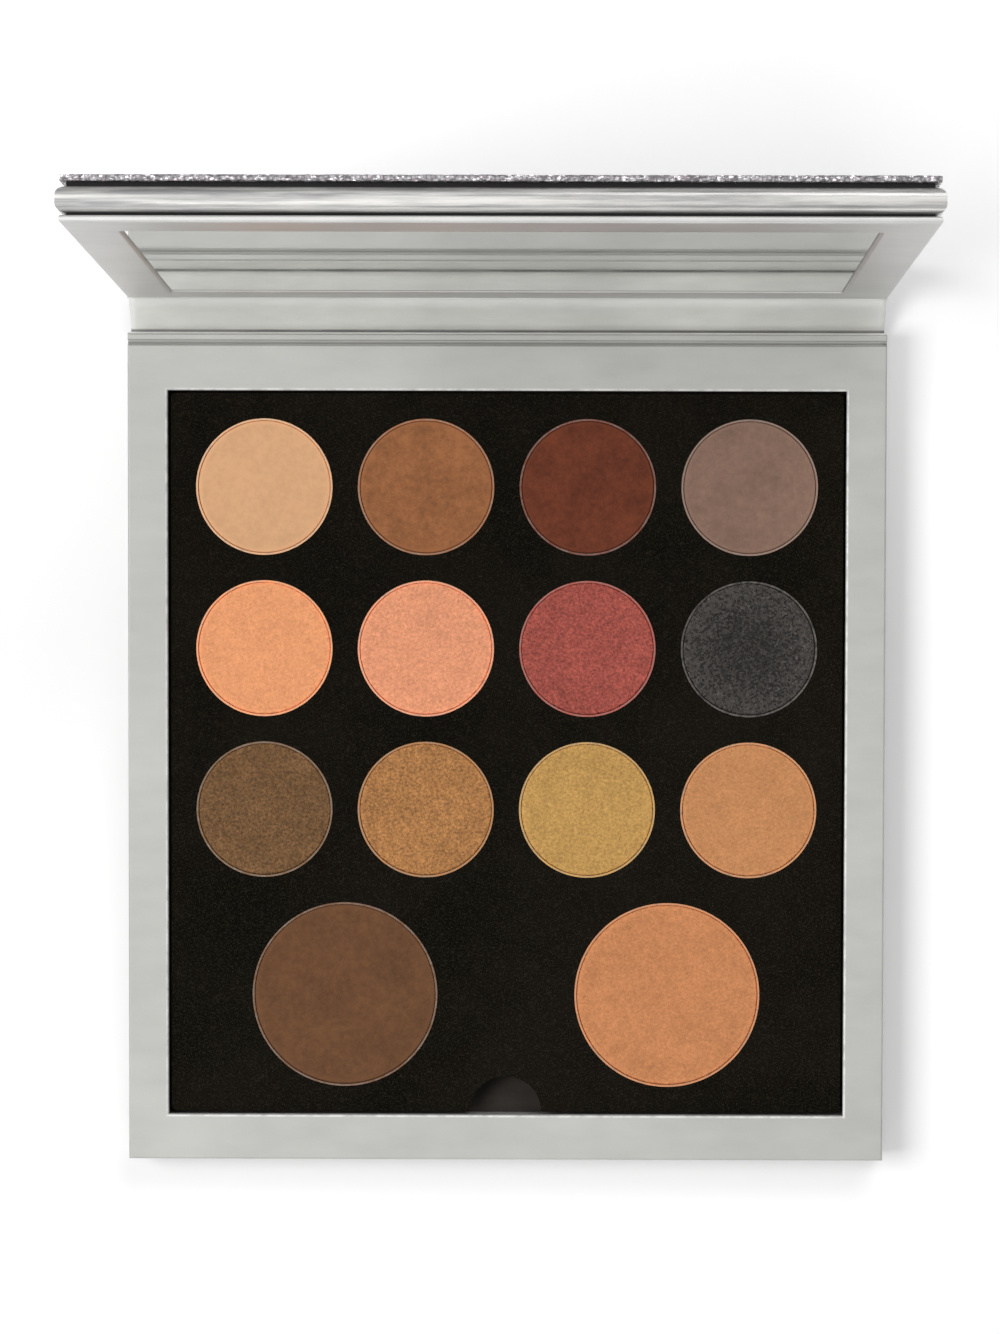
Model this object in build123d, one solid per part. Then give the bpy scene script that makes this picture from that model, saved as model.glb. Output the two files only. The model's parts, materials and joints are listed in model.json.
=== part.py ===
from build123d import *
import os

# Book-style eyeshadow palette, opened: a boxed base with an insert of fourteen round pans,
# a narrow spine board on a paper hinge, and a mirrored lid on a second paper hinge.
#
# Millimetres. +X is to the user's right, +Y runs back towards the hinge, +Z is up.
# The origin is the centre of the base's underside. Everything behind the base is drawn in
# the closed position and then swung open about the two hinge creases.

# ---- base ----
base_width = 144.3
base_depth = 158.0
bottom_board_thickness = 2.0
well_floor_thickness = 2.4
frame_thickness = 1.5
window_side_border = 7.6
window_front_border = 8.6
window_rear_border = 10.8
rear_lip_width = 1.3
rear_groove_width = 0.8
frame_overhang = 0.4
board_edge_round = 0.35

# ---- insert and pans ----
insert_backing_thickness = 1.0
insert_board_thickness = 4.8
insert_recess = 1.3
insert_clearance = 0.5
insert_corner_radius = 1.0
notch_radius = 6.8
small_pan_diameter = 26.0
large_pan_diameter = 35.4
pan_wall = 0.35
pan_floor = 0.35
pan_hole_clearance = 0.12
pan_rim_below_insert = 0.10
powder_below_rim = 0.15
powder_side_clearance = 0.05
powder_edge_chamfer = 0.35
small_rows = 3
small_columns = 4

# ---- spine and its two hinges ----
spine_board_thickness = 1.5
lining_thickness = 0.25
cover_paper_thickness = 0.3
hinge_clearance = 0.45
spine_end_setback = 1.0
spine_side_setback = 0.4

# ---- lid ----
mirror_frame_thickness = 1.2
mirror_spacer_thickness = 0.5
lid_board_thickness = 4.2
cover_spacer_thickness = 0.8
cover_board_thickness = 1.3
closed_gap = 0.3
lid_board_overhang = 0.6
spacer_inset = 1.2
lid_board_round = 1.5
cover_board_round = 0.6
mirror_frame_round = 0.45
mirror_opening_round = 0.7
mirror_side_border = 9.2
mirror_hinge_border = 14.0
mirror_free_border = 17.0
mirror_recess = 0.3
mirror_clearance = 0.2
mirror_corner_radius = 0.5
adhesive_thickness = 0.2
adhesive_inset = 4.0

# ---- closure magnets ----
magnet_diameter = 6.0
magnet_thickness = 1.5
magnet_spacing = 76.0
magnet_clearance = 0.1

# ---- how closely an edge's height is matched when it is picked ----
height_tolerance = 0.01

# ---- how far it stands open ----
spine_lean = 43.0
lid_lean = 4.75

# ---- heights and planes that follow ----
well_stack = well_floor_thickness + insert_backing_thickness + insert_board_thickness
wall_height = well_stack + insert_recess - frame_thickness
base_height = bottom_board_thickness + wall_height + frame_thickness
front_y = -base_depth / 2
rear_y = base_depth / 2
window_width = base_width - 2 * window_side_border
window_front_y = front_y + window_front_border
window_rear_y = rear_y - window_rear_border
wall_top_z = bottom_board_thickness + wall_height
floor_top_z = bottom_board_thickness + well_floor_thickness
insert_bottom_z = floor_top_z + insert_backing_thickness
insert_top_z = insert_bottom_z + insert_board_thickness
insert_width = window_width - 2 * insert_clearance
insert_front_y = window_front_y + insert_clearance
insert_rear_y = window_rear_y - insert_clearance
insert_depth = insert_rear_y - insert_front_y

# The pans are spread so that the gaps between them and to the insert's edges are even.
pan_gap_x = (insert_width - small_columns * small_pan_diameter) / (small_columns + 1)
pan_rows_depth = small_rows * small_pan_diameter + large_pan_diameter
pan_gap_y = (insert_depth - pan_rows_depth) / (small_rows + 2)
small_pan_pitch_x = small_pan_diameter + pan_gap_x
small_pan_pitch_y = small_pan_diameter + pan_gap_y

hinge_y = rear_y + hinge_clearance
spine_hinge_z = bottom_board_thickness
lid_inner_z = base_height + closed_gap
mirror_frame_top_z = lid_inner_z + mirror_frame_thickness
lid_hinge_z = mirror_frame_top_z + mirror_spacer_thickness
lid_board_top_z = lid_hinge_z + lid_board_thickness
cover_board_z = lid_board_top_z + cover_spacer_thickness
spine_opening = spine_lean
lid_opening = 90 + lid_lean - spine_lean
magnet_y = front_y + window_front_border / 2


def block(x_low, x_high, y_low, y_high, z_low, z_high):
    """A box from its low and high corner."""
    size = (x_high - x_low, y_high - y_low, z_high - z_low)
    return Pos(x_low, y_low, z_low) * Box(*size, align=(Align.MIN,) * 3)


def centred(width, y_low, y_high, z_low, z_high):
    """A box centred on X."""
    return block(-width / 2, width / 2, y_low, y_high, z_low, z_high)


def disc(radius, z_low, height):
    """An upright disc standing on z_low."""
    return Pos(0, 0, z_low) * Cylinder(radius, height, align=(Align.CENTER, Align.CENTER, Align.MIN))


def edges_at_height(solid, z):
    """The edges that lie level at height z."""
    return solid.edges().filter_by_position(Axis.Z, z - height_tolerance, z + height_tolerance)


def swing_spine(solid):
    """From the closed position to the spine's open position."""
    return solid.rotate(Axis((0, hinge_y, spine_hinge_z), (1, 0, 0)), -spine_opening)


def swing_lid(solid):
    """From the closed position to the lid's open position, carried by the spine."""
    folded = solid.rotate(Axis((0, hinge_y, lid_hinge_z), (1, 0, 0)), -lid_opening)
    return swing_spine(folded)


def save(node, solid):
    """Writes one node."""
    solid.label = node
    export_step(solid, os.path.join("parts", f"{node}.step"))


# ---- base ----
def bottom_board():
    board = centred(base_width, front_y, rear_y, 0, bottom_board_thickness)
    return fillet(edges_at_height(board, 0), board_edge_round)


def well_floor():
    inner_half = window_width / 2 + frame_overhang
    return block(-inner_half, inner_half, window_front_y - frame_overhang,
                 window_rear_y + frame_overhang, bottom_board_thickness, floor_top_z)


def side_wall(side):
    inner_half = window_width / 2 + frame_overhang
    wall = block(inner_half, base_width / 2, window_front_y - frame_overhang,
                 window_rear_y + frame_overhang, bottom_board_thickness, wall_top_z)
    return wall if side > 0 else wall.mirror(Plane.YZ)


def front_wall():
    wall = centred(base_width, front_y, window_front_y - frame_overhang,
                   bottom_board_thickness, wall_top_z)
    pocket_depth = magnet_thickness + magnet_clearance
    for x in (-magnet_spacing / 2, magnet_spacing / 2):
        wall -= Pos(x, magnet_y, 0) * disc(magnet_diameter / 2 + magnet_clearance,
                                           wall_top_z - pocket_depth, pocket_depth)
    return wall


def rear_wall():
    wall = centred(base_width, window_rear_y + frame_overhang, rear_y,
                   bottom_board_thickness, wall_top_z)
    wall += centred(base_width, rear_y - rear_lip_width, rear_y, wall_top_z, base_height)
    return fillet(edges_at_height(wall, base_height), board_edge_round)


def top_frame():
    plate = centred(base_width, front_y, rear_y - rear_lip_width - rear_groove_width,
                    wall_top_z, base_height)
    plate -= centred(window_width, window_front_y, window_rear_y, wall_top_z, base_height)
    return fillet(edges_at_height(plate, base_height), board_edge_round)


def base_magnets():
    disc_z = wall_top_z - magnet_thickness
    magnets = [Pos(x, magnet_y, 0) * disc(magnet_diameter / 2, disc_z, magnet_thickness)
               for x in (-magnet_spacing / 2, magnet_spacing / 2)]
    return Compound(children=magnets)


# ---- insert and pans ----
def pan_places():
    """Name, diameter and centre of each pan, from the rear row forward."""
    places = []
    for row in range(small_rows):
        y = insert_rear_y - pan_gap_y - small_pan_diameter / 2 - row * small_pan_pitch_y
        for column in range(small_columns):
            x = (column - (small_columns - 1) / 2) * small_pan_pitch_x
            places.append((f"row{row + 1}_{column + 1}", small_pan_diameter, x, y))
    large_y = insert_front_y + pan_gap_y + large_pan_diameter / 2
    for name, side in (("left", -1), ("right", 1)):
        places.append((f"large_{name}", large_pan_diameter, side * small_pan_pitch_x, large_y))
    return places


def insert_layer(z_low, z_high):
    """One board of the insert with the finger notch in its front edge."""
    layer = centred(insert_width, insert_front_y, insert_rear_y, z_low, z_high)
    layer = fillet(layer.edges().filter_by(Axis.Z), insert_corner_radius)
    return layer - Pos(0, insert_front_y, 0) * disc(notch_radius, z_low, z_high - z_low)


def insert_board():
    board = insert_layer(insert_bottom_z, insert_top_z)
    for _, diameter, x, y in pan_places():
        board -= Pos(x, y, 0) * disc(diameter / 2 + pan_hole_clearance,
                                     insert_bottom_z, insert_board_thickness)
    return board


def pan(diameter):
    """A pressed tin cup standing on the backing."""
    height = insert_board_thickness - pan_rim_below_insert
    cup = disc(diameter / 2, insert_bottom_z, height)
    return cup - disc(diameter / 2 - pan_wall, insert_bottom_z + pan_floor, height - pan_floor)


def powder(diameter):
    """The pressed cake inside a pan, with a softened edge."""
    low = insert_bottom_z + pan_floor
    high = insert_top_z - pan_rim_below_insert - powder_below_rim
    cake = disc(diameter / 2 - pan_wall - powder_side_clearance, low, high - low)
    return chamfer(edges_at_height(cake, high), powder_edge_chamfer / 2, powder_edge_chamfer)


# ---- spine ----
def spine_strip(y_low, y_high):
    """One layer of the spine, upright behind the base as when the palette is shut."""
    return centred(base_width - 2 * spine_side_setback, y_low, y_high,
                   spine_hinge_z + spine_end_setback, lid_hinge_z - spine_end_setback)


# ---- lid ----
def mirror_opening(z_low, z_high, grow=0.0):
    """The rectangle that the mirror shows through or sits in."""
    opening = centred(base_width - 2 * mirror_side_border + 2 * grow,
                      front_y + mirror_free_border - grow,
                      rear_y - mirror_hinge_border + grow, z_low, z_high)
    return fillet(opening.edges().filter_by(Axis.Z), mirror_corner_radius)


def inside_opening(edge):
    """True for an edge of the mirror's opening, and not of the frame's outline."""
    middle = edge.center()
    return (abs(middle.X) < base_width / 2 - mirror_side_border / 2
            and front_y + mirror_free_border / 2 < middle.Y < rear_y - mirror_hinge_border / 2)


def mirror_frame():
    plate = centred(base_width, front_y, rear_y, lid_inner_z, mirror_frame_top_z)
    plate = fillet(plate.edges().filter_by(Axis.Z, reverse=True), mirror_frame_round)
    plate -= mirror_opening(lid_inner_z, mirror_frame_top_z)
    rim = [edge for edge in edges_at_height(plate, lid_inner_z) if inside_opening(edge)]
    return fillet(rim, mirror_opening_round)


def mirror_spacer():
    card = centred(base_width - 2 * spacer_inset, front_y + spacer_inset, rear_y - spacer_inset,
                   mirror_frame_top_z, lid_hinge_z)
    return card - mirror_opening(mirror_frame_top_z, lid_hinge_z)


def mirror_glass():
    return mirror_opening(lid_inner_z + mirror_recess, lid_hinge_z - adhesive_thickness,
                          -mirror_clearance)


def mirror_adhesive():
    return mirror_opening(lid_hinge_z - adhesive_thickness, lid_hinge_z, -adhesive_inset)


def lid_board():
    board = centred(base_width + 2 * lid_board_overhang, front_y - lid_board_overhang, rear_y,
                    lid_hinge_z, lid_board_top_z)
    level_edges = board.edges().filter_by(Axis.Z, reverse=True)
    rolled = [edge for edge in level_edges if edge.center().Y < rear_y - lid_board_round]
    board = fillet(rolled, lid_board_round)
    pocket_depth = magnet_thickness + magnet_clearance
    for x in (-magnet_spacing / 2, magnet_spacing / 2):
        board -= Pos(x, magnet_y, 0) * disc(magnet_diameter / 2 + magnet_clearance,
                                            lid_hinge_z, pocket_depth)
    return board


def cover_spacer():
    return centred(base_width - 2 * spacer_inset, front_y + spacer_inset, rear_y - spacer_inset,
                   lid_board_top_z, cover_board_z)


def cover_board():
    board = centred(base_width, front_y, rear_y, cover_board_z, cover_board_z + cover_board_thickness)
    return fillet(board.edges().filter_by(Axis.Z, reverse=True), cover_board_round)


def lid_magnets():
    magnets = [Pos(x, magnet_y, 0) * disc(magnet_diameter / 2, lid_hinge_z, magnet_thickness)
               for x in (-magnet_spacing / 2, magnet_spacing / 2)]
    return Compound(children=magnets)


# ---- write every node ----
os.makedirs("parts", exist_ok=True)

save("bottom_board", bottom_board())
save("well_floor", well_floor())
save("front_wall", front_wall())
save("rear_wall", rear_wall())
save("left_wall", side_wall(-1))
save("right_wall", side_wall(1))
save("top_frame", top_frame())
save("base_magnets", base_magnets())

save("insert_backing", insert_layer(floor_top_z, insert_bottom_z))
save("insert_board", insert_board())
for place, diameter, x, y in pan_places():
    save(f"pan_{place}", Pos(x, y, 0) * pan(diameter))
    save(f"powder_{place}", Pos(x, y, 0) * powder(diameter))

board_outer_y = hinge_y + spine_board_thickness
save("spine_board", swing_spine(spine_strip(hinge_y, board_outer_y)))
save("spine_lining", swing_spine(spine_strip(hinge_y - lining_thickness, hinge_y)))
save("spine_cover", swing_spine(spine_strip(board_outer_y, board_outer_y + cover_paper_thickness)))

save("mirror_frame", swing_lid(mirror_frame()))
save("mirror_spacer", swing_lid(mirror_spacer()))
save("mirror_glass", swing_lid(mirror_glass()))
save("mirror_adhesive", swing_lid(mirror_adhesive()))
save("lid_board", swing_lid(lid_board()))
save("lid_magnets", swing_lid(lid_magnets()))
save("cover_spacer", swing_lid(cover_spacer()))
save("cover_board", swing_lid(cover_board()))
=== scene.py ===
"""Looks of the opened eyeshadow palette: papers, glitter, mirror, pans and pressed powders,
built round the fixed CAD frame. Metres, in the CAD frame."""

import json
import math

import bmesh
import bpy
import numpy as np
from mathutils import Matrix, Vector, noise


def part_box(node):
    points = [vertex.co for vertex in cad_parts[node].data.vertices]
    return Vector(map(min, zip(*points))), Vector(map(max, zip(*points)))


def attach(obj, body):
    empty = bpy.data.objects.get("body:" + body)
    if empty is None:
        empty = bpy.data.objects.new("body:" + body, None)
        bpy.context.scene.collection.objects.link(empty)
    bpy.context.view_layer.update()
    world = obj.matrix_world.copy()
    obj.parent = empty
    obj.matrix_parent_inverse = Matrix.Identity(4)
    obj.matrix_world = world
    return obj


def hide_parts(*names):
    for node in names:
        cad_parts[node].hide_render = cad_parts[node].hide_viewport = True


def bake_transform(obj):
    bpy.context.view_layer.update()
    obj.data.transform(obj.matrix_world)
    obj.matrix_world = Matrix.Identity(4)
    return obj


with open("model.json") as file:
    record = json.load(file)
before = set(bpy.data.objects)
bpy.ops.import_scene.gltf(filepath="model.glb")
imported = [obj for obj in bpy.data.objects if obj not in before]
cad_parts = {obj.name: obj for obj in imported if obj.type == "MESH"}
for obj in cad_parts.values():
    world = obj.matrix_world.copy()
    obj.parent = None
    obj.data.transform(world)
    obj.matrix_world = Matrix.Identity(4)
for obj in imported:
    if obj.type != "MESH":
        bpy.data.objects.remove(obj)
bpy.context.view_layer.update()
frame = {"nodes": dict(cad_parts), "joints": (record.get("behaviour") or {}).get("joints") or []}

MM = 0.001
BLACK, WHITE = (0.0, 0.0, 0.0), (1.0, 1.0, 1.0)


# ---------------------------------------------------------------- shader maths
class Link:
    """An output socket that takes part in plain arithmetic."""

    def __init__(self, finish, socket):
        self.finish = finish
        self.socket = socket

    def maths(self, operation, first, second):
        return self.finish.node("ShaderNodeMath", {"operation": operation}, {0: first, 1: second})

    def __add__(self, other):
        return self.maths("ADD", self, other)

    def __sub__(self, other):
        return self.maths("SUBTRACT", self, other)

    def __rsub__(self, other):
        return self.maths("SUBTRACT", other, self)

    def __mul__(self, other):
        return self.maths("MULTIPLY", self, other)

    __radd__ = __add__
    __rmul__ = __mul__

    def most(self, other):
        return self.maths("MAXIMUM", self, other)

    def spread(self, low, high, to_low=0.0, to_high=1.0):
        """The value moved from one range to another, and held inside it."""
        return self.finish.node(
            "ShaderNodeMapRange", {"clamp": True},
            {"Value": self, "From Min": low, "From Max": high, "To Min": to_low, "To Max": to_high})


class Finish:
    """One procedural material, with its textures placed in the piece's own coordinates."""

    def __init__(self, name, **constants):
        self.material = bpy.data.materials.new(name)
        self.material.use_nodes = True
        self.tree = self.material.node_tree
        self.shader = self.tree.nodes["Principled BSDF"]
        for socket, value in constants.items():
            self.shader.inputs[socket.replace("_", " ")].default_value = value
        self.place = self.node("ShaderNodeTexCoord", out="Object")

    def node(self, kind, settings=None, values=None, out=0):
        """A node of that type: its settings are set first, then its sockets' values or links."""
        made = self.tree.nodes.new(kind)
        for name, value in (settings or {}).items():
            setattr(made, name, value)
        for name, value in (values or {}).items():
            self.join(made.inputs[name], value)
        return Link(self, made.outputs[out])

    def join(self, socket, value):
        """Links a socket, or sets its value; a colour gets its alpha."""
        if isinstance(value, Link):
            self.tree.links.new(value.socket, socket)
        elif hasattr(value, "__len__") and len(value) == 3 and socket.type == "RGBA":
            socket.default_value = (*value, 1.0)
        else:
            socket.default_value = value

    def feed(self, **links):
        """Links what varies into the shader, and returns the material."""
        for socket, link in links.items():
            self.join(self.shader.inputs[socket.replace("_", " ")], link)
        return self.material

    def vector(self, operation, values, out=0):
        return self.node("ShaderNodeVectorMath", {"operation": operation}, values, out)

    def part(self, vector, letter):
        return self.node("ShaderNodeSeparateXYZ", None, {"Vector": vector}, letter)

    def facing(self):
        return self.node("ShaderNodeNewGeometry", out="Normal")

    def stretched(self, x=1.0, y=1.0, z=1.0):
        """The piece's coordinates, for a texture drawn out along the axes given less than 1."""
        return self.vector("MULTIPLY", {0: self.place, 1: (x, y, z)})

    def clouds(self, grain, detail=4.0, roughness=0.55, place=None):
        """Fractal noise whose blotches are about that many metres across, from 0 to 1."""
        return self.node("ShaderNodeTexNoise", None,
                         {"Vector": place or self.place, "Scale": 1.0 / grain,
                          "Detail": detail, "Roughness": roughness})

    def flakes(self, grain, out="Color"):
        """Cells about that many metres across; each has its own random colour."""
        return self.node("ShaderNodeTexVoronoi", None,
                         {"Vector": self.place, "Scale": 1.0 / grain}, out)

    def beyond(self, low, high):
        """How far outside an upright box from low to high the point lies, seen from above."""
        x, y = self.part(self.place, "X"), self.part(self.place, "Y")
        across = (x - high.x).most(low.x - x)
        return across.most((y - high.y).most(low.y - y))

    def blend(self, factor, first, second):
        """A colour mix: inputs 6 and 7 and output 2 of a Mix node are its colour sockets."""
        values = {0: factor, 6: first, 7: second}
        return self.node("ShaderNodeMix", {"data_type": "RGBA"}, values, 2)

    def times(self, shade, share):
        """A varying colour made that much lighter or darker."""
        return self.vector("SCALE", {0: shade, "Scale": share})

    def bump(self, height, depth, strength, normal=None):
        values = {"Height": height, "Distance": depth, "Strength": strength}
        if normal is not None:
            values["Normal"] = normal
        return self.node("ShaderNodeBump", None, values)

    def tilted(self, flakes, amount):
        """The surface normal, tipped a random way in each flake."""
        centred = self.vector("SUBTRACT", {0: flakes, 1: (0.5, 0.5, 0.5)})
        leaned = self.vector("ADD", {0: self.facing(), 1: self.times(centred, amount)})
        return self.vector("NORMALIZE", {0: leaned})


def linear(red, green, blue):
    """A display colour, 0 to 255, as linear light."""
    return tuple((c / 255 / 12.92) if c < 10.3 else ((c / 255 + 0.055) / 1.055) ** 2.4
                 for c in (red, green, blue))


def scaled(colour, share):
    return tuple(c * share for c in colour)


# ---------------------------------------------------------------- papers and boards
def painted_crease_shade(finish, shade, colour, shade_below, blotch):
    """Paints shade into the paper's colour below that height, where it turns down into a fold."""
    crease_shade = finish.part(finish.place, "Z").spread(shade_below, shade_below + 0.3 * MM, 1, 0)
    return finish.blend(crease_shade * (0.7 + blotch * 0.3), shade, scaled(colour, 0.12))


def painted_edge_highlight(finish, shade, window):
    """Paints a pale highlight in patches along the cut edge of the window."""
    near = finish.beyond(*window).spread(0.30 * MM, 0.55 * MM, 1, 0)
    patches = finish.clouds(2 * MM, 3).spread(0.35, 0.6, 0.15, 0.85)
    return finish.blend(near * patches, shade, linear(228, 228, 225))


def silver_paper(name, colour, metal, roughness, shade_below=None, window=None):
    """Satin silver paper: a metal sheen over fine paper grain, with faint blotches and rub marks."""
    finish = Finish(name, Metallic=metal)
    blotch = finish.clouds(26 * MM, 3)
    drift = finish.clouds(3.5 * MM, 4, place=finish.stretched(x=0.35))
    grain = finish.clouds(0.35 * MM, 3, 0.7)
    rub = finish.clouds(9 * MM, 5, 0.65, place=finish.stretched(x=0.12)).spread(0.62, 0.75)
    tone = blotch * 0.5 + drift * 0.35 + grain * 0.15
    shade = finish.blend(tone.spread(0.35, 0.66), scaled(colour, 0.90), scaled(colour, 1.08))
    shade = finish.blend(rub * 0.25, shade, scaled(colour, 1.22))
    # painted shade below a crease
    if shade_below:
        shade = painted_crease_shade(finish, shade, colour, shade_below, blotch)
    # painted highlight along the window's cut edge
    if window:
        shade = painted_edge_highlight(finish, shade, window)
    relief = drift * 0.3 + grain * 0.5
    return finish.feed(Base_Color=shade, Roughness=roughness + (tone - 0.5) * 0.22 + rub * 0.08,
                       Normal=finish.bump(relief, 0.05 * MM, 0.55))


def silver_foil():
    """Bright foil drawn over a rolled board edge: dull streaks and puckers, fewer to the right, and
    painted shade that darkens its colour towards the left end.

    The streaks run across the lid, and up it on its side faces."""
    finish = Finish("silver_foil", Metallic=0.8)
    sideways = finish.part(finish.facing(), "X")
    on_side = (sideways * sideways).spread(0.4, 0.6)
    streak = finish.clouds(1.3 * MM, 3, 0.6, place=finish.stretched(x=0.03)) * (1 - on_side)
    streak = streak + finish.clouds(1.3 * MM, 3, 0.6, place=finish.stretched(z=0.04)) * on_side
    fine = finish.clouds(0.45 * MM, 3, 0.6, place=finish.stretched(x=0.05, z=0.3))
    pucker = finish.clouds(3.0 * MM, 3, 0.5, place=finish.stretched(x=0.35))
    left_pucker_and_shade = finish.part(finish.place, "X").spread(-60 * MM, 30 * MM, 1.0, 0.1)
    tone = streak * 0.65 + fine * 0.35
    dull, bright = linear(150, 150, 150), linear(218, 217, 214)
    # painted shade: the colour darkens towards the left end
    shade = finish.blend((tone - left_pucker_and_shade * 0.06).spread(0.34, 0.58), dull, bright)
    rough = tone.spread(0.3, 0.7, 0.30, 0.42) + left_pucker_and_shade * 0.12
    relief = streak * 0.5 + pucker * left_pucker_and_shade * 0.5
    return finish.feed(Base_Color=shade, Roughness=rough,
                       Normal=finish.bump(relief, 0.14 * MM, 0.6))


def glitter_paper():
    """Coarse silver glitter: each flake tips its own way, with dark gaps and a few tinted flakes."""
    finish = Finish("glitter_paper", Metallic=0.65)
    coarse, fine = 0.70 * MM, 0.34 * MM
    flake = finish.flakes(coarse)
    gap = finish.flakes(coarse, "Distance").spread(0.30, 0.62)
    lightness, tint = finish.part(flake, "X"), finish.part(flake, "Y")
    silver = finish.blend(lightness, linear(128, 124, 128), linear(232, 229, 231))
    warm = finish.blend(tint.spread(0.80, 0.95) * 0.4, silver, linear(214, 190, 202))
    shade = finish.blend(gap * 0.6, warm, linear(76, 73, 77))
    both = finish.blend(0.35, flake, finish.flakes(fine))
    return finish.feed(Base_Color=shade, Roughness=lightness.spread(0, 1, 0.42, 0.18),
                       Normal=finish.tilted(both, 0.65))


def black_board():
    """Matte black card with a fine felted grain."""
    finish = Finish("black_board", Specular_IOR_Level=0.04)
    grain = finish.clouds(0.32 * MM, 4, 0.75)
    lint = finish.clouds(0.9 * MM, 4, 0.7).spread(0.55, 0.72)
    patch = finish.clouds(18 * MM, 3)
    shade = finish.blend(patch.spread(0.35, 0.65), linear(9, 7, 3), linear(18, 15, 10))
    flecked = finish.blend(grain.spread(0.50, 0.68) * 0.85, shade, linear(46, 43, 35))
    dusted = finish.blend(lint * 0.3, flecked, linear(54, 49, 42))
    return finish.feed(Base_Color=dusted, Roughness=grain.spread(0.3, 0.7, 0.75, 0.95),
                       Normal=finish.bump(grain * 0.7 + lint * 0.3, 0.10 * MM, 0.8))


def plain_board(name, colour):
    """Uncovered card: short pulp fibres and soft blotches."""
    finish = Finish(name, Specular_IOR_Level=0.25)
    fibre = finish.clouds(0.8 * MM, 5, 0.7, place=finish.stretched(x=0.4))
    patch = finish.clouds(8 * MM, 3)
    tone = (fibre * 0.7 + patch * 0.3).spread(0.35, 0.65)
    shade = finish.blend(tone, scaled(colour, 0.75), scaled(colour, 1.2))
    return finish.feed(Base_Color=shade, Roughness=tone.spread(0, 1, 0.8, 0.95),
                       Normal=finish.bump(fibre, 0.06 * MM, 0.6))


# ---------------------------------------------------------------- glass, metal and tape
def mirror_silver():
    """Back-silvered glass with the faintest haze."""
    finish = Finish("mirror", Metallic=1.0)
    haze = finish.clouds(14 * MM, 4, 0.6).spread(0.45, 0.75)
    return finish.feed(Base_Color=finish.blend(haze, linear(250, 252, 251), linear(241, 244, 243)),
                       Roughness=haze.spread(0, 1, 0.015, 0.05))


def pan_tin(name, powder):
    """Pressed bright metal with turning marks; powder clings to most of its rim."""
    finish = Finish(name)
    turn = finish.clouds(0.5 * MM, 3, 0.6)
    dust = finish.clouds(1.6 * MM, 4, 0.7).spread(0.36, 0.60)
    tin = finish.blend(turn.spread(0.3, 0.7), linear(120, 112, 104), linear(160, 152, 144))
    dusty = finish.blend(dust * 0.45 + 0.52, tin, scaled(powder, 1.30))
    return finish.feed(Base_Color=dusty, Metallic=0.35 - dust * 0.3,
                       Roughness=turn * 0.2 + dust * 0.4 + 0.25,
                       Normal=finish.bump(turn, 0.03 * MM, 0.5))


def nickel():
    """Plated magnet."""
    finish = Finish("nickel", Metallic=1.0)
    scuff = finish.clouds(0.6 * MM, 4, 0.7)
    return finish.feed(Base_Color=finish.blend(scuff, linear(150, 148, 144), linear(196, 194, 190)),
                       Roughness=scuff.spread(0.3, 0.7, 0.2, 0.4))


def tape():
    """Double-sided tape behind the mirror."""
    finish = Finish("tape", Specular_IOR_Level=0.4)
    ripple = finish.clouds(2.0 * MM, 3)
    return finish.feed(Base_Color=finish.blend(ripple, linear(206, 205, 198), linear(222, 221, 214)),
                       Roughness=ripple.spread(0.3, 0.7, 0.4, 0.6))


# ---------------------------------------------------------------- powders
# Each pan's powder: its colour, how much it shimmers from 0 to 1, and how blotchy it is.
POWDERS = {
    "row1_1": ((216, 167, 125), 0.0, 0.08),
    "row1_2": ((147, 95, 60), 0.0, 0.28),
    "row1_3": ((102, 51, 32), 0.0, 0.32),
    "row1_4": ((129, 102, 88), 0.0, 0.18),
    "row2_1": ((231, 156, 108), 0.35, 0.09),
    "row2_2": ((226, 151, 113), 0.44, 0.11),
    "row2_3": ((154, 75, 65), 0.70, 0.24),
    "row2_4": ((34, 32, 30), 0.80, 0.40),
    "row3_1": ((107, 77, 48), 0.75, 0.28),
    "row3_2": ((161, 112, 66), 0.70, 0.24),
    "row3_3": ((182, 141, 79), 0.52, 0.14),
    "row3_4": ((187, 129, 83), 0.38, 0.11),
    "large_left": ((100, 67, 43), 0.0, 0.24),
    "large_right": ((189, 125, 81), 0.38, 0.14),
}
FROSTED = "row2_4"
POWDER_RELIEF = 0.05 * MM


def mica(finish, shimmer, shade, bright, ring, clump):
    """Strews mica over a shade. The glint noise is painted glint, and the flakes' lighter colour is
    partly the mica's own and partly painted glint. Gives the new shade, how much of the mica shows,
    and its normal.
    """
    flake = finish.flakes(0.34 * MM)
    glint = finish.clouds(0.50 * MM, 3, 0.7).spread(0.40, 0.60)
    depth = shimmer * shimmer
    shade = finish.blend(glint, finish.times(shade, 1 - 0.62 * depth),
                         finish.times(shade, 1 + 0.72 * depth))
    chance = finish.part(flake, "X") + ring * 0.45 + (clump - 0.5) * 0.5
    shows = chance.spread(1 - 0.55 * shimmer, 1.15 - 0.35 * shimmer)
    shade = finish.blend(shows * (0.30 + 0.40 * shimmer), shade, bright)
    return shade, shows, finish.tilted(flake, 0.45 + 0.45 * shimmer)


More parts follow.
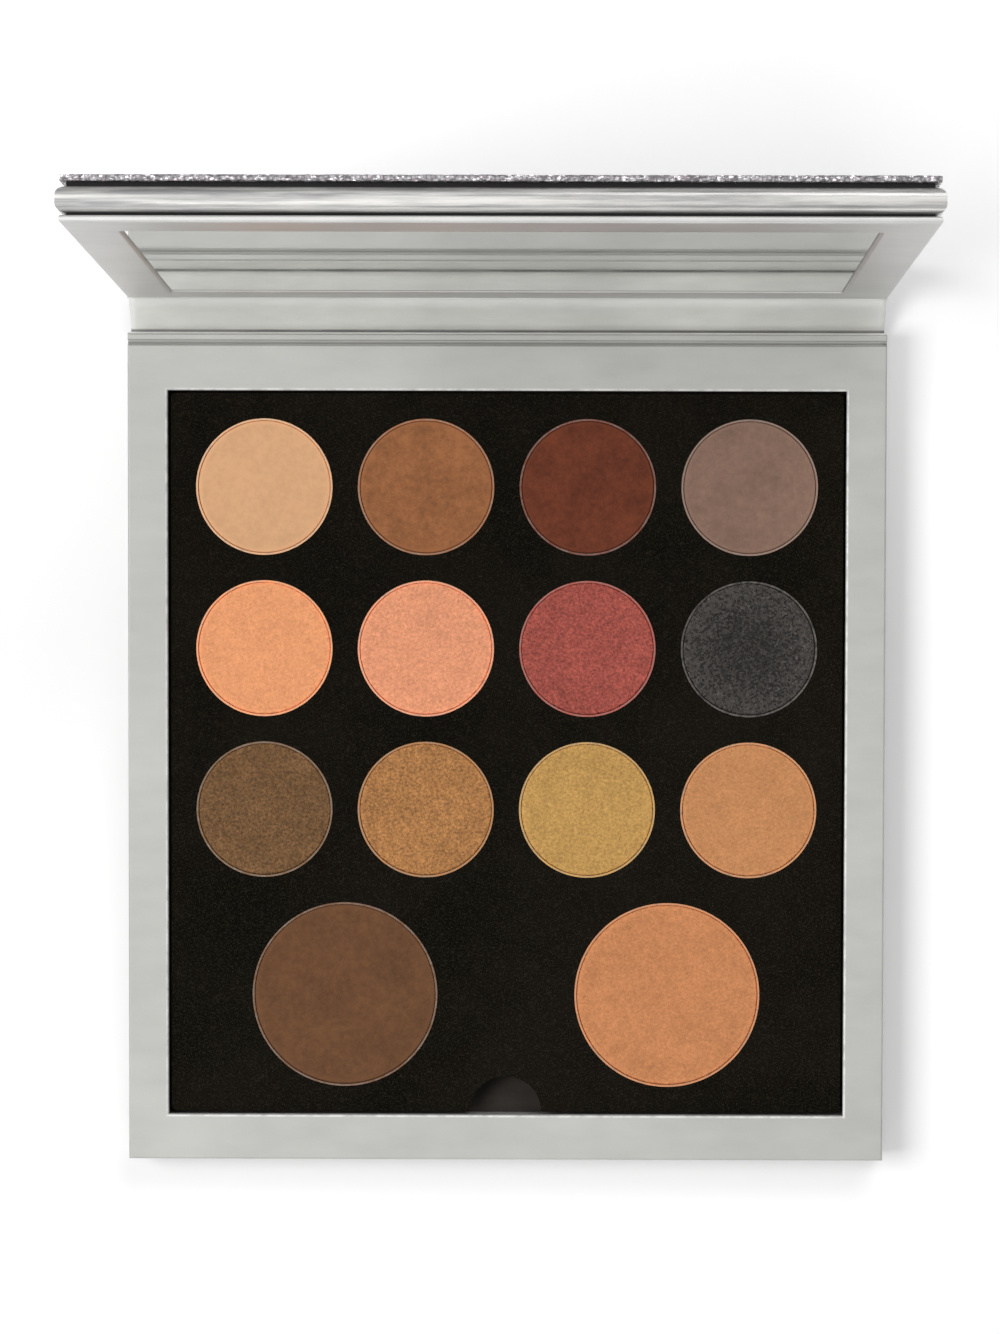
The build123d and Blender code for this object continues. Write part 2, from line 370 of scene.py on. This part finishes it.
def pressed_powder(name, colour, shimmer, contrast, centre, radius, frost):
    """Pressed cake. shimmer 0 is matte; towards 1 more mica shows. frost greys the outer ring."""
    finish = Finish(name, Specular_IOR_Level=0.22)
    grain = finish.clouds(0.24 * MM, 3, 0.8)
    clump = finish.clouds(1.3 * MM, 6, 0.75)
    cloud = finish.clouds(7 * MM, 4, 0.6)
    tone = grain * 0.22 + clump * 0.48 + cloud * 0.30
    dark, light = scaled(colour, 1 - contrast), scaled(colour, 1 + contrast)
    shade = finish.blend(tone.spread(0.40, 0.60), dark, light)
    reach = finish.vector("DISTANCE", {0: finish.place, 1: centre}, "Value")
    # painted highlight: a lighter ring of colour round the cake's rounded rim
    edge = reach.spread(radius * 0.93, radius * 0.99)
    shade = finish.blend(edge * 0.55, shade, scaled(colour, 1.30))
    relief = grain * 0.6 + clump * 0.4
    if not shimmer:
        return finish.feed(Base_Color=shade, Roughness=tone.spread(0.3, 0.7, 0.80, 0.95),
                           Normal=finish.bump(relief, POWDER_RELIEF, 0.6))
    ring = reach.spread(radius * 0.35, radius) * frost
    # the mica's lighter colour: partly the mica's own, partly painted glint
    bright = scaled(colour, 1.7 + frost * 5.0)
    shade, shows, tipped = mica(finish, shimmer, shade, bright, ring, clump)
    return finish.feed(Base_Color=shade, Metallic=shows * 0.5 * shimmer,
                       Roughness=shows.spread(0, 1, 0.72, 0.38),
                       Normal=finish.bump(relief, POWDER_RELIEF, 0.6, tipped))


# ---------------------------------------------------------------- making pieces
def new_piece(name, vertices, faces, material):
    mesh = bpy.data.meshes.new(name)
    mesh.from_pydata([tuple(v) for v in vertices], [], faces)
    mesh.update()
    shape = bmesh.new()
    shape.from_mesh(mesh)
    bmesh.ops.recalc_face_normals(shape, faces=shape.faces)
    shape.to_mesh(mesh)
    shape.free()
    piece = bpy.data.objects.new(name, mesh)
    bpy.context.scene.collection.objects.link(piece)
    mesh.materials.append(material)
    return piece


def smooth(piece):
    piece.data.polygons.foreach_set("use_smooth", [True] * len(piece.data.polygons))
    return piece


def ring_faces(rings, size, first=0):
    """Faces that join successive rings of that many points, from the vertex numbered first."""
    faces = []
    for ring in range(rings - 1):
        here = first + ring * size
        there = here + size
        for k in range(size):
            after = (k + 1) % size
            faces.append((here + k, there + k, there + after, here + after))
    return faces


def dress(material, *nodes, soften=0.0):
    """Gives CAD nodes their finish, and rounds off their sharp edges by soften metres."""
    for node in nodes:
        part = frame["nodes"][node]
        part.data.materials.clear()
        part.data.materials.append(material)
        if soften:
            bevel = part.modifiers.new("softened_edges", "BEVEL")
            bevel.width, bevel.segments = soften, 2
            bevel.limit_method, bevel.angle_limit = "ANGLE", math.radians(40)


# ---------------------------------------------------------------- cakes
CAKE_AROUND = 144        # points round a cake
CAKE_RINGS = 40          # steps from its middle out to the rounded rim, shorter towards it
CAKE_ROUND = 0.30 * MM   # how far its rim's rounding reaches in and down
CAKE_CROWN = 0.08 * MM   # how far the top falls away to the rim
CAKE_SUNK = 0.03 * MM    # how far the rings of its top are sunk, to leave room for the texture


def cake_radii(radius):
    """Radii of a cake's rings from the middle out: its flat top, then its rounded rim."""
    top = [radius * (1 - (1 - i / CAKE_RINGS) ** 1.25) * 0.96 for i in range(1, CAKE_RINGS)]
    rim = [radius - CAKE_ROUND * (1 - math.sin(a)) for a in np.linspace(0.15, math.pi / 2, 6)]
    return top + rim


def circle(middle, radius):
    """Points spaced evenly round a circle, as X and Y."""
    turns = [2 * math.pi * step / CAKE_AROUND for step in range(CAKE_AROUND)]
    return [(middle[0] + radius * math.cos(a), middle[1] + radius * math.sin(a)) for a in turns]


def cake_height(x, y, top, out, radius):
    """The cake's surface that far out: crown, rounded rim and press texture."""
    crown = CAKE_CROWN * ((out / radius) ** 2)
    into_round = max(0.0, (out - (radius - CAKE_ROUND)) / CAKE_ROUND)
    rim = CAKE_ROUND * (1 - math.sqrt(max(0.0, 1 - into_round ** 2)))
    waves = noise.noise(Vector((x, y, 0.3)) / (5 * MM)) * 0.035 * MM
    grains = noise.noise(Vector((x, y, 0.7)) / (0.8 * MM)) * 0.012 * MM
    return top - crown - rim + waves + grains - CAKE_SUNK


def cake(name, material, middle, radius, bottom):
    """A pressed powder cake: gently crowned, softly rounded rim, faint press texture."""
    radii = cake_radii(radius)
    vertices = [middle]
    for out in radii:
        vertices += [(x, y, cake_height(x, y, middle[2], out, radius))
                     for x, y in circle(middle, out)]
    under = len(vertices)
    vertices += [(x, y, bottom) for x, y in circle(middle, radius)]
    faces = [(0, 1 + k, 1 + (k + 1) % CAKE_AROUND) for k in range(CAKE_AROUND)]
    faces += ring_faces(len(radii) + 1, CAKE_AROUND, first=1)
    faces.append(tuple(range(under, under + CAKE_AROUND)))
    piece = smooth(new_piece(f"cake_{name}", vertices, faces, material))
    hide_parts(f"powder_{name}")
    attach(piece, "base")


def all_cakes():
    for name, (colour, shimmer, contrast) in POWDERS.items():
        low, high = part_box(f"powder_{name}")
        middle = ((low.x + high.x) / 2, (low.y + high.y) / 2, high.z)
        radius = (high.x - low.x) / 2
        frost = 1.0 if name == FROSTED else 0.0
        powder = pressed_powder(f"powder_{name}", linear(*colour), shimmer, contrast, middle,
                                radius, frost)
        cake(name, powder, middle, radius, low.z)


# ---------------------------------------------------------------- finishes of the CAD nodes
def window_box():
    """The opening in the top frame, as its low and high corners seen from above."""
    low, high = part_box("top_frame")
    middle = (low + high) / 2
    spots = [v.co for v in frame["nodes"]["top_frame"].data.vertices]
    inner_x = min(abs(v.x - middle.x) for v in spots)
    rim = [v.y for v in spots if abs(v.x - middle.x) < inner_x + 0.01 * MM]
    return Vector((middle.x - inner_x, min(rim), 0)), Vector((middle.x + inner_x, max(rim), 0))


def dress_base(glitter):
    """Silver paper over the walls and the top frame, glitter below, plain paper in the well."""
    silver = silver_paper("silver_paper", linear(186, 186, 182), 0.45, 0.58, window=window_box())
    dress(silver, "front_wall", "rear_wall", "left_wall", "right_wall", "top_frame")
    dress(glitter, "bottom_board")
    dress(plain_board("well_paper", linear(50, 45, 42)), "well_floor")


def dress_insert():
    """Black card round the pans, each pan dusted with its own powder."""
    black = black_board()
    dress(black, "insert_board", soften=0.12 * MM)
    dress(black, "insert_backing")
    for name, (colour, _, _) in POWDERS.items():
        dress(pan_tin(f"tin_{name}", linear(*colour)), f"pan_{name}")


def dress_lid_and_spine(glitter):
    """The lid's layers from inside to outside, then the spine and the magnets."""
    dress(silver_paper("silver_sheen", linear(206, 206, 204), 0.65, 0.44), "mirror_frame")
    dress(mirror_silver(), "mirror_glass", soften=0.25 * MM)
    dress(tape(), "mirror_adhesive")
    # The spacers are real card; their near-black colour is painted shade for the crevices between
    # the lid's boards.
    dress(plain_board("dark_board", linear(34, 33, 33)), "mirror_spacer", "cover_spacer")
    dress(silver_foil(), "lid_board")
    dress(plain_board("grey_board", linear(128, 125, 119)), "spine_board")
    dress(glitter, "spine_cover")
    dress(nickel(), "base_magnets", "lid_magnets")


# ---------------------------------------------------------------- the two creases
def tilt(degrees):
    """Directions along a board leaning back that far from upright, and out of its inner face."""
    lean = math.radians(degrees)
    return Vector((0, math.sin(lean), math.cos(lean))), Vector((0, -math.cos(lean), math.sin(lean)))


# Each joint's lower limit shuts it: the spine then stands upright and the lid lies level.
JOINTS = {joint["name"]: joint for joint in frame["joints"]}
BASE_CREASE = Vector(JOINTS["spine_fold"]["pos_m"])
LID_CREASE = Vector(JOINTS["lid_fold"]["pos_m"])
SPINE_LEAN = -JOINTS["spine_fold"]["range_deg"][0]
LID_LEAN = SPINE_LEAN - JOINTS["lid_fold"]["range_deg"][0] - 90
SPINE_UP, SPINE_IN = tilt(SPINE_LEAN)
LID_UP, LID_IN = tilt(LID_LEAN)

# Millimetres, because the papers' paths are given in them.
WALL_LOW, WALL_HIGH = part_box("rear_wall")
BACK, TOP = WALL_HIGH.y / MM, WALL_HIGH.z / MM
SPINE_LENGTH = (LID_CREASE - BASE_CREASE).length / MM
LINING = 0.25            # the lining's middle, in from the plane of the two creases
SPINE_BACK = 1.8         # the spine's outer face, out from that plane
LID_FACE = 1.7           # the mirror frame's face, in from the lid's crease
COVER_INSIDE = 5.0       # the glitter board's inner face, out from the lid's crease
COVER_BOARD = 1.3        # the glitter board's thickness
LID_BACK = COVER_INSIDE + COVER_BOARD
LAID = 0.09              # a paper's middle, off the board that it lies on

PAPER = 0.16 * MM
PAPER_WIDTH = WALL_HIGH.x - WALL_LOW.x - 0.2 * MM
PAPER_COLUMNS = 120      # pieces that a strip is cut into across the palette


def along(crease, up, inward, points):
    """Points given as millimetres up a board and out of its inner face, measured from a crease."""
    return [crease + up * (rise * MM) + inward * (out * MM) for rise, out in points]


def flat_points(points):
    """Points given as Y and Z in millimetres."""
    return [Vector((0, y * MM, z * MM)) for y, z in points]


def rounded_path(points, step):
    """The path resampled evenly, with its corners eased."""
    dense = []
    for first, last in zip(points, points[1:]):
        count = max(1, round((last - first).length / step))
        dense += [first.lerp(last, i / count) for i in range(count)]
    dense.append(points[-1])
    for _ in range(3):
        inner = [(a + b * 2 + c) / 4 for a, b, c in zip(dense, dense[1:], dense[2:])]
        dense = [dense[0], *inner, dense[-1]]
    return dense


def strip_section(path):
    """A strip's cut end: points of its middle line, their normals, and which side they are on."""
    line = rounded_path(path, 0.3 * MM)
    spots = []
    for i, point in enumerate(line):
        run = line[min(i + 1, len(line) - 1)] - line[max(i - 1, 0)]
        spots.append((point, Vector((0, -run.z, run.y)).normalized()))
    return [(p, n, 0.5) for p, n in spots] + [(p, n, -0.5) for p, n in reversed(spots)]


def paper_strip(name, path, thickness, material, ripple=0.0):
    """A closed strip of covering paper that follows a path, given as points on the middle plane."""
    section = strip_section(path)
    vertices = []
    for column in range(PAPER_COLUMNS + 1):
        x = PAPER_WIDTH * (column / PAPER_COLUMNS - 0.5)
        for point, normal, side in section:
            wave = noise.noise(Vector((x, point.y * 3, point.z * 3)) / (7 * MM)) * ripple
            spot = point + normal * (side * thickness + wave)
            vertices.append((x, spot.y, spot.z))
    size = len(section)
    faces = [tuple(range(size)), tuple(PAPER_COLUMNS * size + k for k in reversed(range(size)))]
    faces += ring_faces(PAPER_COLUMNS + 1, size)
    return smooth(new_piece(name, vertices, faces, material))


def groove_paper():
    """The paper that turns down into the groove between the top frame and the rear wall."""
    # this paper's colour gets painted shade at the bottom of the groove
    groove_floor = WALL_HIGH.z - 0.75 * MM
    folded = silver_paper("folded_paper", linear(192, 192, 188), 0.4, 0.58,
                          shade_below=groove_floor)
    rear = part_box("top_frame")[1].y / MM
    path = flat_points([(rear + 0.04, TOP - 0.12), (rear + 0.08, TOP - 0.80),
                        (rear + 0.28, TOP - 0.85), (rear + 0.77, TOP - 0.08)])
    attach(paper_strip("groove_paper", path, 0.06 * MM, folded), "base")


def lower_lining(material):
    """Silver lining down the rear wall, round the base's crease and up the spine."""
    path = flat_points([(BACK + 0.05, TOP - 0.6), (BACK + 0.08, TOP - 0.9), (BACK + LAID, 2.9),
                        (BACK + 0.16, 2.35)])
    path += along(BASE_CREASE, SPINE_UP, SPINE_IN,
                  [(0.3, LINING), (3.0, LINING), (SPINE_LENGTH - 1.0, LINING)])
    strip = paper_strip("hinge_lining_lower", path, PAPER, material, 0.03 * MM)
    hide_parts("spine_lining")
    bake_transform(strip)


def upper_lining(material):
    """Silver lining from the spine's top, round the lid's crease, onto the mirror frame."""
    path = along(LID_CREASE, SPINE_UP, SPINE_IN,
                 [(-1.7, LINING + 0.1), (-1.0, LINING + 0.15), (-0.5, 0.7)])
    path += along(LID_CREASE, LID_UP, LID_IN,
                  [(0.30, LID_FACE - 0.35), (0.5, LID_FACE + 0.02), (1.0, LID_FACE + LAID),
                   (3.0, LID_FACE + LAID)])
    strip = paper_strip("hinge_lining_upper", path, PAPER, material)
    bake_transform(strip)


def lower_cover(material):
    """Glitter paper down the rear wall's foot, out over the table and up the spine's back."""
    path = flat_points([(BACK + LAID, 1.5), (BACK + LAID, 0.5), (BACK + 0.5, 0.22),
                        (BACK + 1.3, 0.3)])
    path += along(BASE_CREASE, SPINE_UP, SPINE_IN,
                  [(0.8, -SPINE_BACK), (1.2, -SPINE_BACK - LAID), (2.8, -SPINE_BACK - LAID)])
    strip = paper_strip("hinge_cover_lower", path, PAPER, material)
    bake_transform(strip)


def upper_cover(material):
    """Glitter paper from the spine's back, round the lid's foot, onto the lid's outer face."""
    spine_part = along(LID_CREASE, SPINE_UP, SPINE_IN,
                       [(-2.8, -SPINE_BACK - LAID), (-1.2, -SPINE_BACK - LAID),
                        (-0.8, -SPINE_BACK)])
    round_foot = along(LID_CREASE, LID_UP, LID_IN,
                       [(-0.6, -3.0), (-0.15, -4.6), (0.1, -5.9), (0.5, -LID_BACK - 0.05)])
    lid_part = along(LID_CREASE, LID_UP, LID_IN,
                     [(1.2, -LID_BACK - LAID), (3.4, -LID_BACK - LAID)])
    strip = paper_strip("hinge_cover_upper", spine_part + round_foot + lid_part, PAPER,
                        material)
    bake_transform(strip)


def hinge_papers(glitter):
    """Silver lining inside the fold and glitter cover outside it, each turning at its crease."""
    # The lining's colour is painted much lighter than the silver paper, as painted light against the
    # shade in the fold; below 2.6 mm it gets painted shade where it turns into the base's crease.
    lining = silver_paper("silver_lining", linear(238, 238, 235), 0.2, 0.5, shade_below=2.60 * MM)
    groove_paper()
    lower_lining(lining)
    upper_lining(lining)
    lower_cover(glitter)
    upper_cover(glitter)


# ---------------------------------------------------------------- the lid's glitter board
GLITTER_SEED = 7
GLITTER_CELL = 0.75 * MM   # about one flake
FOOT_RISE = 0.45 * MM      # the board's lower end, up from the lid's crease
RIM_WEAR = 0.12 * MM       # the most that a face is worn back at random
EDGE_EASE = 0.105 * MM     # how far edges and corners are drawn in on top of that
SCATTER = 0.62             # the range over which a grid point strays, as a share of a cell


def worn(at, place, last, steps, shift):
    """Moves a grid point at random: inwards where it is on the rim, either way elsewhere."""
    rim = [here in (0, end) for here, end in zip(place, last)]
    for axis in range(3):
        inward = 1 if place[axis] == 0 else -1
        if not rim[axis]:
            at[axis] += (shift[axis] - 0.5) * SCATTER * steps[axis]
            continue
        at[axis] += inward * RIM_WEAR * shift[axis]
        if sum(rim) > 1:
            at[axis] += inward * EDGE_EASE
    return at


def glitter_board(material):
    """The lid's outer board: rough with coarse glitter, so its surfaces and edges are lumpy."""
    low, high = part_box("cover_board")
    bottom_low, bottom_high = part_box("bottom_board")
    half, length, thickness = (high.x - low.x) / 2, bottom_high.y - bottom_low.y, COVER_BOARD * MM
    foot = LID_CREASE + LID_UP * FOOT_RISE - LID_IN * (COVER_INSIDE * MM)
    across, up, deep = round(2 * half / GLITTER_CELL), round(length / GLITTER_CELL), 4
    steps = (GLITTER_CELL, GLITTER_CELL, thickness / deep)
    chance = np.random.default_rng(GLITTER_SEED)
    index, vertices, faces = {}, [], []

    def vertex(i, j, k):
        key = (i, j, k)
        if key not in index:
            at = [(i / across - 0.5) * 2 * half, j / up * length, k / deep * thickness]
            at = worn(at, key, (across, up, deep), steps, chance.random(3))
            spot = foot + LID_UP * at[1] - LID_IN * at[2]
            index[key] = len(vertices)
            vertices.append((min(max(at[0], -half), half), spot.y, spot.z))
        return index[key]

    def sheet(count_a, count_b, corner):
        for a in range(count_a):
            for b in range(count_b):
                quad = [vertex(*corner(a, b)), vertex(*corner(a + 1, b)),
                        vertex(*corner(a + 1, b + 1)), vertex(*corner(a, b + 1))]
                split = chance.random() < 0.5
                faces.extend([(quad[0], quad[1], quad[2]), (quad[0], quad[2], quad[3])] if split
                             else [(quad[0], quad[1], quad[3]), (quad[1], quad[2], quad[3])])

    sheet(across, up, lambda a, b: (a, b, deep))
    sheet(across, up, lambda a, b: (a, b, 0))
    for end in (0, across):
        sheet(up, deep, lambda a, b, e=end: (e, a, b))
    for end in (0, up):
        sheet(across, deep, lambda a, b, e=end: (a, e, b))
    piece = new_piece("glitter_cover", vertices, faces, material)
    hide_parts("cover_board")
    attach(piece, "lid")


# ---------------------------------------------------------------- stage
def white_floor():
    """A wide white sheet with a faint glow of its own, stronger towards the back."""
    half = 3.0
    corners = [(-half, -half, 0), (half, -half, 0), (half, half, 0), (-half, half, 0)]
    finish = Finish("floor_white", Base_Color=(0.9, 0.9, 0.9, 1.0), Roughness=0.9,
                    Emission_Strength=0.20)
    glow = finish.part(finish.place, "Y").spread(0.02, 0.12, 0.33, 1.0)
    white = finish.feed(Emission_Color=finish.blend(glow, BLACK, WHITE))
    new_piece("floor", corners, [(0, 1, 2, 3)], white)


def soft_light(name, place, aim, width, height, power):
    lamp = bpy.data.lights.new(name, "AREA")
    lamp.shape, lamp.size, lamp.size_y, lamp.energy = "RECTANGLE", width, height, power
    body = bpy.data.objects.new(name, lamp)
    body.location = place
    body.rotation_euler = (Vector(aim) - Vector(place)).to_track_quat("-Z", "Y").to_euler()
    bpy.context.scene.collection.objects.link(body)


def studio():
    """White surroundings, a key light high on the left, and fainter ones behind and in front."""
    scene = bpy.context.scene
    world = bpy.data.worlds.new("studio_white")
    world.use_nodes = True
    surroundings = world.node_tree.nodes["Background"].inputs
    surroundings["Color"].default_value = (*WHITE, 1.0)
    surroundings["Strength"].default_value = 0.34
    scene.world = world
    soft_light("key", place=(-0.70, 0.09, 1.26), aim=(0, 0, 0),
               width=0.65, height=0.65, power=12.4)
    soft_light("back", place=(0.40, 0.85, 1.25), aim=(0, 0, 0),
               width=0.8, height=0.5, power=5.8)
    soft_light("front", place=(0, -1.2, 0.8), aim=(0, 0.08, 0.05),
               width=1.4, height=0.6, power=4.2)
    scene.view_settings.view_transform = "Standard"


def camera():
    """Almost straight down, a little behind the hinge, from about 1.1 m."""
    lens = bpy.data.cameras.new("camera")
    lens.sensor_width = 36.0
    lens.lens = 158.3
    lens.clip_start, lens.clip_end = 0.05, 20.0
    body = bpy.data.objects.new("camera", lens)
    body.location = (0.00798, 0.09062, 1.12702)
    body.rotation_euler = (-0.0671, 0.0084, 0.0020)
    bpy.context.scene.collection.objects.link(body)
    bpy.context.scene.camera = body


glitter = glitter_paper()
all_cakes()
dress_base(glitter)
dress_insert()
dress_lid_and_spine(glitter)
hinge_papers(glitter)
glitter_board(glitter)
white_floor()
studio()
camera()
